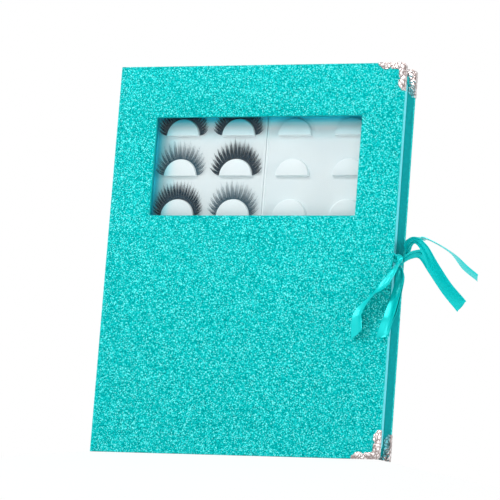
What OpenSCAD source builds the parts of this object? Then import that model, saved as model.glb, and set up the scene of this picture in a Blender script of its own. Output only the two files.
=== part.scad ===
// False eyelash case made like a book: boards covered in glitter paper, a window in the front cover,
// an inner box with two lash trays, metal corners on the fore-edge and a ribbon bow that ties it shut.
// Millimetres. The closed case stands on its bottom edge: Z is up, the front cover faces -Y,
// the spine is at -X and the fore-edge at +X. The origin is the middle of the back cover's bottom edge.

/* [Covers] */
// Width of the closed case, from the outside of the spine to the fore-edge
case_w = 195; // [175:1:230]
// Height of the covers
case_h = 250; // [190:1:300]
// Thickness of the closed case over both covers
case_t = 22; // [19:0.5:30]
// Thickness of a covered board
cover_t = 2.5; // [1.8:0.1:3.5]
// Thickness of the lining card inside the covers
lining_t = 0.5; // [0.3:0.1:0.8]
// How far the lining stays back from the edges of its cover
lining_inset = 5.5; // [5.3:0.1:12]
// Corner radius of the covers at the fore-edge
cover_corner_r = 2.5; // [1:0.5:4]
// Corner radius of the covers beside the hinge
hinge_corner_r = 0.8; // [0.3:0.1:1.2]

/* [Hinges] */
// Radius of the paper bend at each hinge line
bend_r = 1.5; // [1.3:0.1:2]
// Thickness of the covering paper and its lining in a bend
bend_t = 0.5; // [0.3:0.1:0.8]
// Gap between a bend and the boards beside it
bend_gap = 0.2; // [0.15:0.05:0.6]

/* [Window] */
// Width of the window
window_w = 140; // [90:1:150]
// Height of the window
window_h = 64; // [30:1:90]
// Distance from the top of the cover to the window
window_top = 33.6; // [28:0.2:60]
// How far the window lies towards the fore-edge from the middle of the case
window_shift = 0.5; // [-4:0.5:4]
// Thickness of the clear film
film_t = 0.3; // [0.15:0.05:0.4]
// How far the film reaches past the window behind the board
film_lap = 6; // [3:0.5:9]

/* [Inner box] */
// How far the covers stand out past the box at the top, the bottom and the fore-edge
box_inset = 4.8; // [4.6:0.1:14]
// Gap between the box and the lining of the spine
box_spine_gap = 6; // [2:0.5:10]
// Thickness of the box walls
box_wall = 2; // [1:0.25:3]
// Thickness of the box floor
box_floor_t = 1; // [0.5:0.25:2]
// Outer corner radius of the box
box_corner_r = 7; // [3:0.5:10]
// Gap between the closed front lining and the rim of the box
box_rim_gap = 0.3; // [0.2:0.1:1]
// Thickness of the foam pad that lifts the trays towards the window
pad_t = 6; // [3:0.5:7]
// Gap round the foam pad
pad_gap = 0.3; // [0.2:0.1:1]

/* [Lash trays] */
// Distance between two columns of seats
column_pitch = 38.4; // [34:0.2:42]
// Distance between two rows of seats
row_pitch = 26.2; // [25.6:0.2:32]
// Bare edge of a tray above the top row's lashes and below the bottom row's seats
tray_edge = 3.7; // [2.6:0.1:6]
// Thickness of the formed plastic sheet
sheet_t = 0.5; // [0.3:0.1:0.8]
// Radius of a half-moon seat at its top
seat_r = 11; // [9:0.25:12]
// How much wider a seat is at its foot than at its top
seat_draft = 0.4; // [0.2:0.1:0.8]
// Height of a seat
seat_h = 2.4; // [1.5:0.1:3]
// Height of the stiffening rim of a tray
rim_h = 0.5; // [0.4:0.1:1.5]
// Width of the stiffening rim of a tray
rim_w = 1.4; // [1:0.1:2]
// Gap between the two trays
tray_gap = 0.3; // [0.3:0.1:1]
// How far the trays lie towards the fore-edge from the middle of the box
tray_shift = 0.9; // [-2:0.1:3]
// How far the trays lie above the middle of the box
tray_rise = 0.9; // [-3:0.1:3]

/* [Lashes] */
// Number of hairs on a lash
hairs = 27; // [20:1:30]
// Length of the hairs in the middle of a lash
hair_l = 12.4; // [8:0.2:12.6]
// How far the hair tips curl up from the tray
hair_curl = 1.5; // [0:0.1:1.8]
// Height of the lash band
band_h = 0.8; // [0.6:0.1:1.2]
// Thickness of the lash band
band_t = 0.5; // [0.3:0.1:0.8]
// Gap between a lash band and its seat, and between the band and the tray
band_gap = 0.3; // [0.2:0.05:0.6]

/* [Metal corners] */
// Thickness of the metal
corner_sheet = 0.5; // [0.4:0.05:0.7]
// How far the metal stands proud of the cover
corner_proud = 0.25; // [0.1:0.05:0.3]
// Length of the metal along each edge of the cover
corner_leg = 18; // [15:0.5:20]

/* [Ribbon] */
// Width of the satin ribbon
ribbon_w = 10; // [8:0.5:10]
// Thickness of the ribbon
ribbon_t = 0.4; // [0.3:0.05:0.5]
// Radius of the knot
knot_r = 3.6; // [3:0.1:3.8]
// Length of the knot
knot_l = 6.4; // [5:0.1:6.8]

/* [Hidden] */
$fn = 64;

// Planes and edges of the closed case
back_y = cover_t / 2;
back_in_y = -cover_t / 2;
front_y = back_y - case_t;
front_in_y = front_y + cover_t;
left_x = -case_w / 2;
right_x = case_w / 2;
axis_x = left_x + bend_r;
front_axis_y = front_y + bend_r;
rear_axis_y = back_y - bend_r;
board_x = axis_x + bend_r + bend_gap;
bend_sweep = 270;

// The lining sheets and the inner box. The linings' corners are round enough to stay clear of the lobe
// at the metal's corner.
lining_extra_r = 2;
lining_back = 1;
lining_r = lining_inset + lining_extra_r;
back_lining_y = back_in_y - lining_t;
front_lining_y = front_in_y + lining_t;
spine_in_x = left_x + cover_t + lining_t;
box_x = spine_in_x + box_spine_gap;
box_w = right_x - box_inset - box_x;
box_h = case_h - 2 * box_inset;
box_rim_y = front_lining_y + box_rim_gap;
floor_y = back_lining_y - box_floor_t;
pad_y = floor_y - pad_t;
box_in_w = box_w - 2 * box_wall;
box_in_h = box_h - 2 * box_wall;
box_in_r = box_corner_r - box_wall;

// The trays, their seats and the lashes
lash_hair_top = seat_r + seat_draft + band_gap + band_t + hair_l;
columns = max(1, floor((box_in_w / 2 - pad_gap) / column_pitch));
rows = floor((box_in_h - 2 * pad_gap - 2 * tray_edge) / row_pitch);
tray_w = columns * column_pitch;
tray_h = rows * row_pitch + 2 * tray_edge;
tray_mid_x = box_x + box_w / 2 + tray_shift;
tray_z = case_h / 2 - tray_h / 2 + tray_rise;
tray_y = pad_y - sheet_t;
left_tray_x = tray_mid_x - tray_w / 2 - tray_gap / 2;
right_tray_x = tray_mid_x + tray_w / 2 + tray_gap / 2;
top_seat_z = tray_z + tray_h - tray_edge - lash_hair_top;
seat_foot_r = seat_r + seat_draft;
tray_corner_r = 2.5;
tray_in_r = tray_corner_r - rim_w;

// The angles of a lash band, the lengths of its end hairs and of every other hair as shares, how far
// the lower and the upper half of a hair lean out, and half of its width and thickness at the bend
band_from = 4;
band_sweep = 180 - 2 * band_from;
end_share = 0.5;
short_share = 0.84;
lower_lean = 0.62;
upper_lean = 0.12;
lower_curl = 0.3;
hair_side = 0.26;
hair_deep = 0.22;

// The scalloped leaf of a metal corner: [distance along the edge, radius] of each lobe of a leg
leg_lobes = [[6.2, 4.6], [13.2, 3.9], [corner_leg - 1.4, 1.8]];
mid_lobe = [4, 4.2];
lobe_in = 0.4;
leaf_heel = 3;

// How far a cutting shape goes past what it cuts
past = 1;

// The knot, and the ribbons' centre lines as [point, half of the width as a vector], round numbers
// chosen by eye for a ribbon 10 mm wide. All but the glued ends are counted from the middle of the knot.
knot_at = [right_x + 0.6, front_in_y + 5.6, case_h / 2 + 1.4];
drawn_w = 10;
glue_t = 0.15;
tab_gap = 0.4;
tab_x = right_x - box_inset + tab_gap;
front_tab_y = front_in_y + glue_t + ribbon_t / 2;
back_tab_y = back_in_y - glue_t - ribbon_t / 2;
front_ribbon_line = [
    [[tab_x, front_tab_y, knot_at.z + 0.4], [0, 0, 5]],
    [[right_x - 2.4, front_tab_y, knot_at.z + 0.3], [0, 0, 4.4]],
    [[right_x + 0.4, front_tab_y, knot_at.z - 0.2], [0, 0, 2.6]],
    [knot_at + [2.1, -4.6, -1.6], [0.2, -0.4, 1.7]],
    [knot_at + [2.9, -7.6, -5.2], [1.5, -1, 0.9]],
    [knot_at + [2.3, -10.6, -9], [2.7, -1.9, 0.2]],
    [knot_at + [0.2, -12, -13.5], [3, -2.5, -0.8]],
    [knot_at + [-2.9, -12, -17.9], [3, -2.6, -1.4]],
    [knot_at + [-6.2, -12.7, -21.9], [2.4, -3.9, -1.6]],
    [knot_at + [-9.5, -13.2, -24.9], [2.0, -4.4, -1.0]],
    [knot_at + [-17.8, -12.7, -34.9], [3.2, -3.4, -1.3]],
    [knot_at + [-19.5, -12.1, -41.4], [4.1, -2.4, -0.7]],
    [knot_at + [-19.0, -11.9, -49.8], [4.3, -2.3, -0.4]]
];
front_loop_line = [
    [knot_at + [0.8, -1.5, -3.9], [1.8, -1.6, 0.2]],
    [knot_at + [4.2, -4.2, -8.8], [2.6, -2.2, 0.2]],
    [knot_at + [5.4, -7, -15.1], [3.6, -2.8, 0]],
    [knot_at + [3.1, -12.8, -35.5], [4.2, -2.6, 0.1]],
    [knot_at + [1.1, -13.2, -41.9], [4.4, -2.3, 0.2]],
    [knot_at + [-0.8, -13.6, -49.8], [4.5, -2, 0.3]],
    [knot_at + [-1.1, -12.9, -50.8], [4.5, -2, 0.3]],
    [knot_at + [-0.8, -12.2, -49.6], [4.5, -2, 0.3]],
    [knot_at + [1.1, -11.6, -41.9], [4.4, -2.3, 0.2]],
    [knot_at + [3.8, -11.5, -35.5], [4.2, -2.6, 0.1]],
    [knot_at + [5.3, -5.4, -15.4], [3.4, -2.6, 0]],
    [knot_at + [3.5, -2.7, -9], [2.4, -2, 0.2]],
    [knot_at + [0.8, 0.9, -4.1], [1.6, -1.4, 0.2]]
];
back_ribbon_line = [
    [[tab_x, back_tab_y, knot_at.z + 0.6], [0, 0, 5]],
    [[right_x - 2.4, back_tab_y, knot_at.z + 0.8], [0, 0, 4.2]],
    [[right_x + 0.4, back_tab_y, knot_at.z + 1.4], [0, 0, 2.4]],
    [knot_at + [1.8, 9.9, 4.6], [-0.6, -0.3, 1.5]],
    [knot_at + [2.4, 8.8, 8.4], [-0.9, -1, 0.9]],
    [knot_at + [4.2, 7.9, 12.4], [-0.8, -1.8, 0.6]],
    [knot_at + [9, 7.8, 14.5], [-0.4, -3, 0.3]],
    [knot_at + [17.3, 7.8, 13.5], [0.2, -4.8, -0.2]],
    [knot_at + [32, 7.8, 5.4], [0, -4.8, -0.2]],
    [knot_at + [42, 7.4, -4.2], [-0.7, -4.4, -1.2]],
    [knot_at + [50.6, 6.8, -10.6], [-0.9, -4.4, -1.2]]
];
back_loop_line = [
    [knot_at + [2.6, 4.9, 1.2], [0.3, -0.8, 1.2]],
    [knot_at + [7.2, 5.6, 4], [0.5, -1, 1.2]],
    [knot_at + [13.6, 6.3, 4.2], [1.6, -1.4, 1.7]],
    [knot_at + [21.6, 6, -4.2], [3.3, -2.1, 2.8]],
    [knot_at + [31.5, 5.8, -17.1], [3.3, -2.4, 2.8]],
    [knot_at + [40.4, 6, -26.6], [3.4, -2.2, 2.9]],
    [knot_at + [42, 5.1, -28.3], [3.4, -2.2, 2.9]],
    [knot_at + [40.7, 4.2, -26.5], [3.4, -2.2, 2.9]],
    [knot_at + [32.2, 3.9, -17.3], [3.3, -2.4, 2.8]],
    [knot_at + [23, 2.5, -4.4], [3.2, -2.2, 2.7]],
    [knot_at + [17, 1.5, 6.4], [2.4, -2, 1.9]],
    [knot_at + [11.2, 2, 12], [0.8, -2.2, 1.2]],
    [knot_at + [6, 3.6, 12.1], [0, -1.7, 0.9]],
    [knot_at + [2.3, 6.8, 7.9], [-0.3, -1.3, 0.6]]
];
tail_cut = 3;
ribbon_steps = 3;
knot_edge_r = 1.4;

// Stands a flat shape up in the XZ plane, from y0 towards the back
module upright(y0, depth) {
    translate([0, y0 + depth, 0]) rotate([90, 0, 0]) linear_extrude(depth) children();
}

// A rectangle with one corner radius at its left end and one at its right end
module rounded_sheet(x0, z0, w, h, r_left, r_right) {
    translate([x0 + r_left, z0]) square([w - r_left - r_right, h]);
    translate([x0, z0 + r_left]) square([r_left, h - 2 * r_left]);
    translate([x0 + w - r_right, z0 + r_right]) square([r_right, h - 2 * r_right]);
    for (z = [z0 + r_left, z0 + h - r_left]) translate([x0 + r_left, z]) circle(r_left);
    for (z = [z0 + r_right, z0 + h - r_right]) translate([x0 + w - r_right, z]) circle(r_right);
}

module cover_outline() {
    rounded_sheet(board_x, 0, right_x - board_x, case_h, hinge_corner_r, cover_corner_r);
}

module lining_outline() {
    lining_h = case_h - 2 * lining_inset;
    rounded_sheet(board_x, lining_inset, right_x - lining_inset - board_x, lining_h, hinge_corner_r, lining_r);
}

module window_outline(margin) {
    translate([window_shift - window_w / 2 - margin, case_h - window_top - window_h - margin])
        square([window_w + 2 * margin, window_h + 2 * margin]);
}

// Places a shape at a corner of the covers, at the top (end = 1) or the bottom (end = 0).
// In the shape's own frame the cover lies at negative x and y.
module at_corner(end) {
    translate([right_x, end * case_h]) mirror([0, 1 - end]) children();
}

// The cover's corner from a low limit of x and y, grown by a margin
module corner_block(margin, low) {
    r = cover_corner_r + margin;
    difference() {
        translate([low, low]) square(margin - low);
        translate([margin - r, margin - r]) difference() {
            square(r + past);
            circle(r);
        }
    }
}

// The scalloped outline of a metal corner, the same on both sides of the cover
module leaf() {
    intersection() {
        corner_block(corner_proud, -corner_leg);
        union() {
            for (lobe = leg_lobes) {
                translate([-lobe[0], -lobe_in]) circle(lobe[1]);
                translate([-lobe_in, -lobe[0]]) circle(lobe[1]);
            }
            translate([-mid_lobe[0], -mid_lobe[0]]) circle(mid_lobe[1]);
            square(2 * leaf_heel, center = true);
        }
    }
}

// The strip of metal that folds over the edges of the cover
module edge_strip() {
    difference() {
        corner_block(corner_proud, -corner_leg);
        corner_block(corner_proud - corner_sheet, -corner_leg - past);
    }
}

// A metal corner on the cover whose low face is at y0
module corner_guard(y0, end) {
    leaf_y = y0 + cover_t + corner_proud - corner_sheet;
    upright(y0 - corner_proud, corner_sheet) at_corner(end) leaf();
    upright(leaf_y, corner_sheet) at_corner(end) leaf();
    upright(y0 - corner_proud, cover_t + 2 * corner_proud) at_corner(end) edge_strip();
}

module covered_board(y0) {
    difference() {
        upright(y0, cover_t) children();
        for (end = [0, 1]) corner_guard(y0, end);
    }
}

module back_cover() {
    color("turquoise") covered_board(back_in_y) cover_outline();
}

module back_lining() {
    color("lightseagreen") upright(back_lining_y, lining_t) lining_outline();
}

module spine_board() {
    low_y = front_axis_y + bend_r + bend_gap;
    high_y = rear_axis_y - bend_r - bend_gap;
    color("turquoise") translate([left_x, low_y, 0]) cube([cover_t, high_y - low_y, case_h]);
}

module spine_lining() {
    low_y = front_axis_y + bend_r + bend_gap;
    high_y = rear_axis_y - bend_r - bend_gap;
    color("lightseagreen") translate([left_x + cover_t, low_y, lining_inset])
        cube([lining_t, high_y - low_y, case_h - 2 * lining_inset]);
}

module front_cover() {
    color("turquoise") covered_board(front_y) difference() {
        cover_outline();
        window_outline(0);
    }
}

// The lining is open a little wider than the window, and holds the film in a pocket
module front_lining() {
    color("lightseagreen") difference() {
        upright(front_in_y, lining_t) difference() {
            lining_outline();
            window_outline(lining_back);
        }
        upright(front_in_y - past, film_t + past) window_outline(film_lap);
    }
}

module window_film() {
    color("azure", 0.3) upright(front_in_y, film_t) window_outline(film_lap);
}

// A bead of covering paper rolled round a hinge line, open towards the inside of the case
module paper_bend(y, from) {
    translate([axis_x, y, 0]) rotate([0, 0, from]) rotate_extrude(angle = bend_sweep)
        translate([bend_r - bend_t, 0]) square([bend_t, case_h]);
}

module front_hinge() {
    color("darkturquoise") paper_bend(front_axis_y, 90);
}

module rear_hinge() {
    color("darkturquoise") paper_bend(rear_axis_y, 0);
}

module box_walls() {
    color("aliceblue") upright(box_rim_y, back_lining_y - box_rim_y) difference() {
        rounded_sheet(box_x, box_inset, box_w, box_h, box_corner_r, box_corner_r);
        translate([box_wall, box_wall])
            rounded_sheet(box_x, box_inset, box_in_w, box_in_h, box_in_r, box_in_r);
    }
}

module box_floor() {
    color("white") upright(floor_y, box_floor_t) translate([box_wall, box_wall])
        rounded_sheet(box_x, box_inset, box_in_w, box_in_h, box_in_r, box_in_r);
}

module foam_pad() {
    inset = box_wall + pad_gap;
    pad_w = box_w - 2 * inset;
    color("whitesmoke") upright(pad_y, pad_t) translate([inset, inset])
        rounded_sheet(box_x, box_inset, pad_w, box_h - 2 * inset, box_in_r, box_in_r);
}

// The middle of the flat side of a seat
function seat_at(mid_x, row, column) = [
    mid_x + (column - (columns + 1) / 2) * column_pitch,
    top_seat_z - (row - 1) * row_pitch
];

// A half-moon with its foot on the plane y = foot_y, drawn in by a margin all round
module half_moon(foot_y, margin) {
    height = seat_h - margin;
    foot_r = seat_foot_r - margin;
    top_r = seat_r - margin;
    intersection() {
        translate([0, foot_y, 0]) rotate([90, 0, 0]) cylinder(h = height, r1 = foot_r, r2 = top_r);
        translate([-foot_r, foot_y - height, margin]) cube([2 * foot_r, height, foot_r]);
    }
}

module tray_outline(mid_x, inset, r) {
    low_x = mid_x - tray_w / 2 + inset;
    rounded_sheet(low_x, tray_z + inset, tray_w - 2 * inset, tray_h - 2 * inset, r, r);
}

// A sheet of plastic formed over its seats, open behind each of them, with a rim that stiffens it
module tray(mid_x) {
    difference() {
        union() {
            upright(tray_y, sheet_t) tray_outline(mid_x, 0, tray_corner_r);
            upright(tray_y - rim_h, rim_h) difference() {
                tray_outline(mid_x, 0, tray_corner_r);
                tray_outline(mid_x, rim_w, tray_in_r);
            }
            for (row = [1 : rows], column = [1 : columns]) {
                at = seat_at(mid_x, row, column);
                translate([at[0], 0, at[1]]) half_moon(tray_y, 0);
            }
        }
        for (row = [1 : rows], column = [1 : columns]) {
            at = seat_at(mid_x, row, column);
            translate([at[0], 0, at[1]]) half_moon(tray_y + sheet_t, sheet_t);
        }
    }
}

module left_tray() {
    color("white") tray(left_tray_x);
}

module right_tray() {
    color("white") tray(right_tray_x);
}

function turn(angle) = [cos(angle), 0, sin(angle)];
function hair_angle(i) = band_from + band_sweep * (i + 0.5) / hairs;
function hair_length(i) =
    hair_l * (end_share + (1 - end_share) * sin(hair_angle(i))) * (i % 2 == 0 ? 1 : short_share);

// One lash: a band round the seat and hairs that taper from it, fanned and bent towards the top.
// It is one closed skin, in which each hair grows from its own stretch of the band.
module lash(at) {
    inner_r = seat_foot_r + band_gap;
    outer_r = inner_r + band_t;
    back = tray_y - band_gap;
    front = back - band_h;
    middle = (back + front) / 2;
    centre = [at[0], 0, at[1]];
    band = [
        for (i = [0 : hairs]) let (u = turn(band_from + band_sweep * i / hairs))
            each [
                centre + inner_r * u + [0, back, 0],
                centre + inner_r * u + [0, front, 0],
                centre + outer_r * u + [0, front, 0],
                centre + outer_r * u + [0, back, 0]
            ]
    ];
    hair = [
        for (i = [0 : hairs - 1])
            let (
                a = hair_angle(i),
                lower = 90 + (a - 90) * lower_lean,
                upper = 90 + (a - 90) * upper_lean,
                root = centre + outer_r * turn(a) + [0, middle, 0],
                bend = root + hair_length(i) / 2 * turn(lower) - [0, hair_curl * lower_curl, 0],
                side = hair_side * turn(lower + 90),
                deep = [0, hair_deep, 0]
            )
            each [
                bend - side - deep,
                bend + side - deep,
                bend + side + deep,
                bend - side + deep,
                bend + hair_length(i) / 2 * turn(upper) - [0, hair_curl * (1 - lower_curl), 0]
            ]
    ];
    first = 4 * (hairs + 1);
    walls = [
        for (i = [0 : hairs - 1], k = [0, 1, 3])
            let (a = 4 * i + k, b = 4 * i + (k + 1) % 4)
            each [[a, a + 4, b + 4], [a, b + 4, b]]
    ];
    spikes = [
        for (i = [0 : hairs - 1])
            let (foot = [4 * i + 2, 4 * i + 6, 4 * i + 7, 4 * i + 3], m = first + 5 * i)
            for (j = [0 : 3]) let (n = (j + 1) % 4)
                each [[foot[j], foot[n], m + n], [foot[j], m + n, m + j], [m + j, m + n, m + 4]]
    ];
    end = 4 * hairs;
    caps = [[0, 1, 2], [0, 2, 3], [end + 3, end + 2, end + 1], [end + 3, end + 1, end]];
    polyhedron(concat(band, hair), concat(walls, spikes, caps));
}

module metal_corner(y0, end) {
    color("silver") corner_guard(y0, end);
}

// A smooth curve through p1 and p2, after p0 and before p3
function smooth(p0, p1, p2, p3, u) =
    p1 + 0.5 * u * ((p2 - p0) + u * ((2 * p0 - 5 * p1 + 4 * p2 - p3) + u * (3 * p1 - p0 - 3 * p2 + p3)));
function stretch(line, i, part, u) =
    let (last = len(line) - 1)
    smooth(line[max(i - 1, 0)][part], line[i][part], line[i + 1][part], line[min(i + 2, last)][part], u);
function along(line, part) = [
    for (i = [0 : len(line) - 2], k = [0 : ribbon_steps - 1]) stretch(line, i, part, k / ribbon_steps),
    line[len(line) - 1][part]
];

// A flat ribbon along a line, with its far end cut aslant by a length
module ribbon(line, cut) {
    centre = along(line, 0);
    half = ribbon_w / drawn_w * along(line, 1);
    last = len(centre) - 1;
    rings = [
        for (i = [0 : last])
            let (
                run = centre[min(i + 1, last)] - centre[max(i - 1, 0)],
                t = run / norm(run),
                n = cross(t, half[i]) / norm(cross(t, half[i])) * ribbon_t / 2,
                slant = t * cut * max(0, 1 - (last - i) / ribbon_steps)
            )
            each [
                centre[i] - half[i] - n - slant,
                centre[i] + half[i] - n + slant,
                centre[i] + half[i] + n + slant,
                centre[i] - half[i] + n - slant
            ]
    ];
    // Both faces are split along the same diagonal, so a twisted ribbon keeps its thickness
    sides = [
        for (i = [0 : last - 1], k = [0 : 3])
            let (a = 4 * i + k, b = 4 * i + (k + 1) % 4)
            each k == 2 ? [[a, a + 4, b], [b, a + 4, b + 4]] : [[a, a + 4, b + 4], [a, b + 4, b]]
    ];
    end = 4 * last;
    caps = [[0, 1, 2], [0, 2, 3], [end + 3, end + 2, end + 1], [end + 3, end + 1, end]];
    polyhedron(rings, concat(sides, caps));
}

module front_ribbon() {
    color("mediumturquoise") ribbon(front_ribbon_line, -tail_cut);
}

module front_bow_loop() {
    color("mediumturquoise") ribbon(front_loop_line, 0);
}

module back_ribbon() {
    color("mediumturquoise") ribbon(back_ribbon_line, tail_cut);
}

module back_bow_loop() {
    color("mediumturquoise") ribbon(back_loop_line, 0);
}

// A turn of ribbon drawn tight: a short barrel with rounded ends
module bow_knot() {
    core_r = knot_r - knot_edge_r;
    color("mediumturquoise") translate(knot_at) rotate_extrude() {
        translate([0, -knot_l / 2]) square([core_r, knot_l]);
        translate([0, -knot_l / 2 + knot_edge_r]) square([knot_r, knot_l - 2 * knot_edge_r]);
        for (end = [-1, 1]) translate([core_r, end * (knot_l / 2 - knot_edge_r)]) circle(knot_edge_r);
    }
}

back_cover();
back_lining();
spine_board();
spine_lining();
front_cover();
front_lining();
window_film();
front_hinge();
rear_hinge();
box_walls();
box_floor();
foam_pad();
left_tray();
right_tray();
metal_corner(front_y, 1);  // front_top_corner
metal_corner(front_y, 0);  // front_bottom_corner
metal_corner(back_in_y, 1);  // back_top_corner
metal_corner(back_in_y, 0);  // back_bottom_corner
front_ribbon();
front_bow_loop();
bow_knot();
back_ribbon();
back_bow_loop();
for (row = [1 : rows], column = [1 : columns]) {
    color("dimgray") lash(seat_at(left_tray_x, row, column));
}
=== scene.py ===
import math
import random

import bmesh
import bpy
from mathutils import Matrix, Vector


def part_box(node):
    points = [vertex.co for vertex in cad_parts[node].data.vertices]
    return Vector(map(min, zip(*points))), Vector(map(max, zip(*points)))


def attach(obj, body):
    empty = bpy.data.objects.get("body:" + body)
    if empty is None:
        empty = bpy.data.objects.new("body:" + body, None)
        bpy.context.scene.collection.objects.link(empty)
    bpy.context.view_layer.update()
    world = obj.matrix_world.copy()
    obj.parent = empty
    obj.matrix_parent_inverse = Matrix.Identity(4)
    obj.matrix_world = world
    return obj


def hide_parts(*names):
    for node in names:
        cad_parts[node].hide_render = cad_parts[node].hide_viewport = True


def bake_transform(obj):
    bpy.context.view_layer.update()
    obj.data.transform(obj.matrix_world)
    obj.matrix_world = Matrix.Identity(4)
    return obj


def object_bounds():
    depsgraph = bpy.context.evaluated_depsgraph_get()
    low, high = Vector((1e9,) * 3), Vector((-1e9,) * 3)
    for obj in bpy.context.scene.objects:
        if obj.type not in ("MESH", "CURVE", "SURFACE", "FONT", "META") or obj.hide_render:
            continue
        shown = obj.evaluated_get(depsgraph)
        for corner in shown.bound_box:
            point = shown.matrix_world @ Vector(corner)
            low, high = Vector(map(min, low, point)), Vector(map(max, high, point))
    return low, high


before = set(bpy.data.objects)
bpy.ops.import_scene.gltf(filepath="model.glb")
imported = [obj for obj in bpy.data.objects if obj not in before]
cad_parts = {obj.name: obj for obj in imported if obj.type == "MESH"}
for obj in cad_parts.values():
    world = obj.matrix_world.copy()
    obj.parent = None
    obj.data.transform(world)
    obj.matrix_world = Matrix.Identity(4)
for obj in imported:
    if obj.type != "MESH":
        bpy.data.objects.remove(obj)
cad_low, cad_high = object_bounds()


# The camera that the photograph was taken with: a long lens, to the right of the closed case and a
# little below its foot, rolled by a few degrees.
PHOTO_PX = 500
LENS_PX = 3500
SENSOR = 36
AZIMUTH = math.radians(22.61)
ELEVATION = math.radians(-9.96)
ROLL = math.radians(4.45)
DISTANCE = 2.2024
LOOK_AT = Vector((0, -0.02075, 0.125))
LOOK_AT_PX = (-3.47, 7.96)

towards = Vector((
    math.sin(AZIMUTH) * math.cos(ELEVATION),
    -math.cos(AZIMUTH) * math.cos(ELEVATION),
    math.sin(ELEVATION),
))
level = Vector((math.cos(AZIMUTH), math.sin(AZIMUTH), 0))
plumb = towards.cross(level)
camera_right = math.cos(ROLL) * level + math.sin(ROLL) * plumb
camera_up = math.cos(ROLL) * plumb - math.sin(ROLL) * level
camera_turn = Matrix((camera_right, camera_up, towards)).transposed().to_euler()
bpy.ops.object.camera_add(location=LOOK_AT + DISTANCE * towards, rotation=camera_turn)
camera = bpy.context.object
camera.name = "camera"
camera.data.sensor_width = SENSOR
camera.data.lens = LENS_PX / PHOTO_PX * SENSOR
camera.data.shift_x = -LOOK_AT_PX[0] / PHOTO_PX
camera.data.shift_y = LOOK_AT_PX[1] / PHOTO_PX
bpy.context.scene.camera = camera
bpy.context.scene.view_settings.view_transform = "Standard"


# The studio: a white ground that is level only under the closed case and falls away from it all round,
# so that it never hides the case from below, a white backdrop, a large soft lamp high at the left of the
# front and two fainter ones at the sides.
GROUND_GAP = 0.00005
GROUND_DEPTH = 1
GROUND_RUN = 3
GROUND_FALL = math.radians(14)
GROUND_WHITE = 0.9
SHADOW_SHARE = 0.25
GLOW = 1.05
WORLD_LIGHT = 0.4
KEY_AT, KEY_SIZE, KEY_POWER = Vector((-1.7, -3.0, 2.6)), 1.3, 78
LEFT_AT, LEFT_SIZE, LEFT_POWER = Vector((-3.2, -0.3, 1.6)), 1.2, 34
RIGHT_AT, RIGHT_SIZE, RIGHT_POWER = Vector((3.0, -0.5, 0.6)), 1.4, 44


def lay(kind, name, **settings):
    """Adds a primitive or a lamp, alone in the selection, and names it."""
    bpy.ops.object.select_all(action="DESELECT")
    kind(**settings)
    piece = bpy.context.object
    piece.name = name
    piece.data.name = name
    return piece


def settle(piece):
    """Puts a piece's place, turn and size into its mesh."""
    bpy.ops.object.select_all(action="DESELECT")
    piece.select_set(True)
    bpy.context.view_layer.objects.active = piece
    bpy.ops.object.transform_apply(location=True, rotation=True, scale=True)
    return piece


def block(name, low, high):
    """A block between two corners."""
    low, high = Vector(low), Vector(high)
    piece = lay(bpy.ops.mesh.primitive_cube_add, name, size=1, location=(low + high) / 2, scale=high - low)
    return settle(piece)


def add_node(tree, kind, inputs=None, **settings):
    """Adds a shader node, with its settings and what goes into its sockets."""
    new = tree.nodes.new("ShaderNode" + kind)
    for key, value in settings.items():
        setattr(new, key, value)
    for key, value in (inputs or {}).items():
        if isinstance(value, bpy.types.NodeSocket):
            tree.links.new(value, new.inputs[key])
        else:
            new.inputs[key].default_value = value
    return new


def seen_directly(tree):
    """1 for what the camera sees, also by reflection or through film, and 0 for what lights the case."""
    ray = add_node(tree, "LightPath").outputs
    seen = add_node(tree, "Math", {0: ray["Is Camera Ray"], 1: ray["Is Glossy Ray"]}, operation="MAXIMUM")
    seen = add_node(tree, "Math", {0: seen.outputs[0], 1: ray["Is Transmission Ray"]}, operation="MAXIMUM")
    return seen.outputs[0]


foot_low, foot_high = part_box("front_bottom_corner")[0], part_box("back_bottom_corner")[1]
foot_z = cad_low.z - GROUND_GAP
ground = block("ground", (cad_low.x, foot_low.y, foot_z - GROUND_DEPTH), (foot_high.x, foot_high.y, foot_z))
for corner in ground.data.vertices:
    if corner.co.z < foot_z - GROUND_DEPTH / 2:
        corner.co.x += math.copysign(GROUND_RUN, corner.co.x)
        corner.co.y += GROUND_RUN if corner.co.y > (foot_low.y + foot_high.y) / 2 else -GROUND_RUN
        corner.co.z = foot_z - GROUND_RUN * math.tan(GROUND_FALL)

ground_paint = bpy.data.materials.new("white ground")
ground_paint.use_nodes = True
tree = ground_paint.node_tree
shader = tree.nodes["Principled BSDF"]
shader.inputs["Base Color"].default_value = (GROUND_WHITE, GROUND_WHITE, GROUND_WHITE, 1)
shader.inputs["Roughness"].default_value = 0.9
shader.inputs["Specular IOR Level"].default_value = 0.1
glow_share = add_node(tree, "Math", {0: seen_directly(tree), 1: 1 - SHADOW_SHARE}, operation="MULTIPLY")
glow = add_node(tree, "Emission", {"Color": (1, 1, 1, 1), "Strength": GLOW})
both = add_node(tree, "MixShader", {0: glow_share.outputs[0], 1: shader.outputs[0], 2: glow.outputs[0]})
tree.links.new(both.outputs[0], tree.nodes["Material Output"].inputs["Surface"])
ground.data.materials.append(ground_paint)

world = bpy.data.worlds.new("studio")
world.use_nodes = True
bpy.context.scene.world = world
tree = world.node_tree
strength = add_node(tree, "MapRange", {"Value": seen_directly(tree), "To Min": WORLD_LIGHT, "To Max": 1})
backdrop = tree.nodes["Background"]
backdrop.inputs["Color"].default_value = (1, 1, 1, 1)
tree.links.new(strength.outputs[0], backdrop.inputs["Strength"])

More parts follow.
